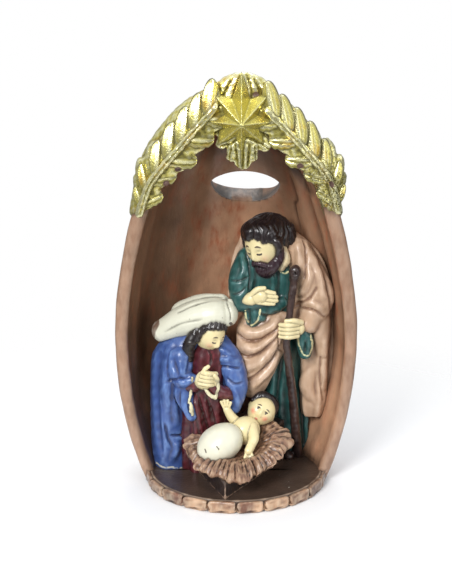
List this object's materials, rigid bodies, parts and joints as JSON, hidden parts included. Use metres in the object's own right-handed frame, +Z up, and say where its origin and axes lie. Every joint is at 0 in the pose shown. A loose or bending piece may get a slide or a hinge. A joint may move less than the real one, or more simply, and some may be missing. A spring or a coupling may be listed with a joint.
{
  "type": "nativity niche",
  "caption": "Upright niche with an arched shell, a leaf and star crest, and small kneeling, standing and lying figures cast inside.",
  "frame": {"origin": "middle of the slab's flat underside", "axes": "+Z up, +X to the viewer's right, -Y towards the viewer who faces the open side"},
  "size_m": [0.0844, 0.0687, 0.1494],
  "materials": {
    "painted_resin": "hand painted cast resin, satin, with a dark antique wash and gold leaves"
  },
  "bodies": {
    "root": {"nativity_casting": "painted_resin"}
  },
  "joints": []
}
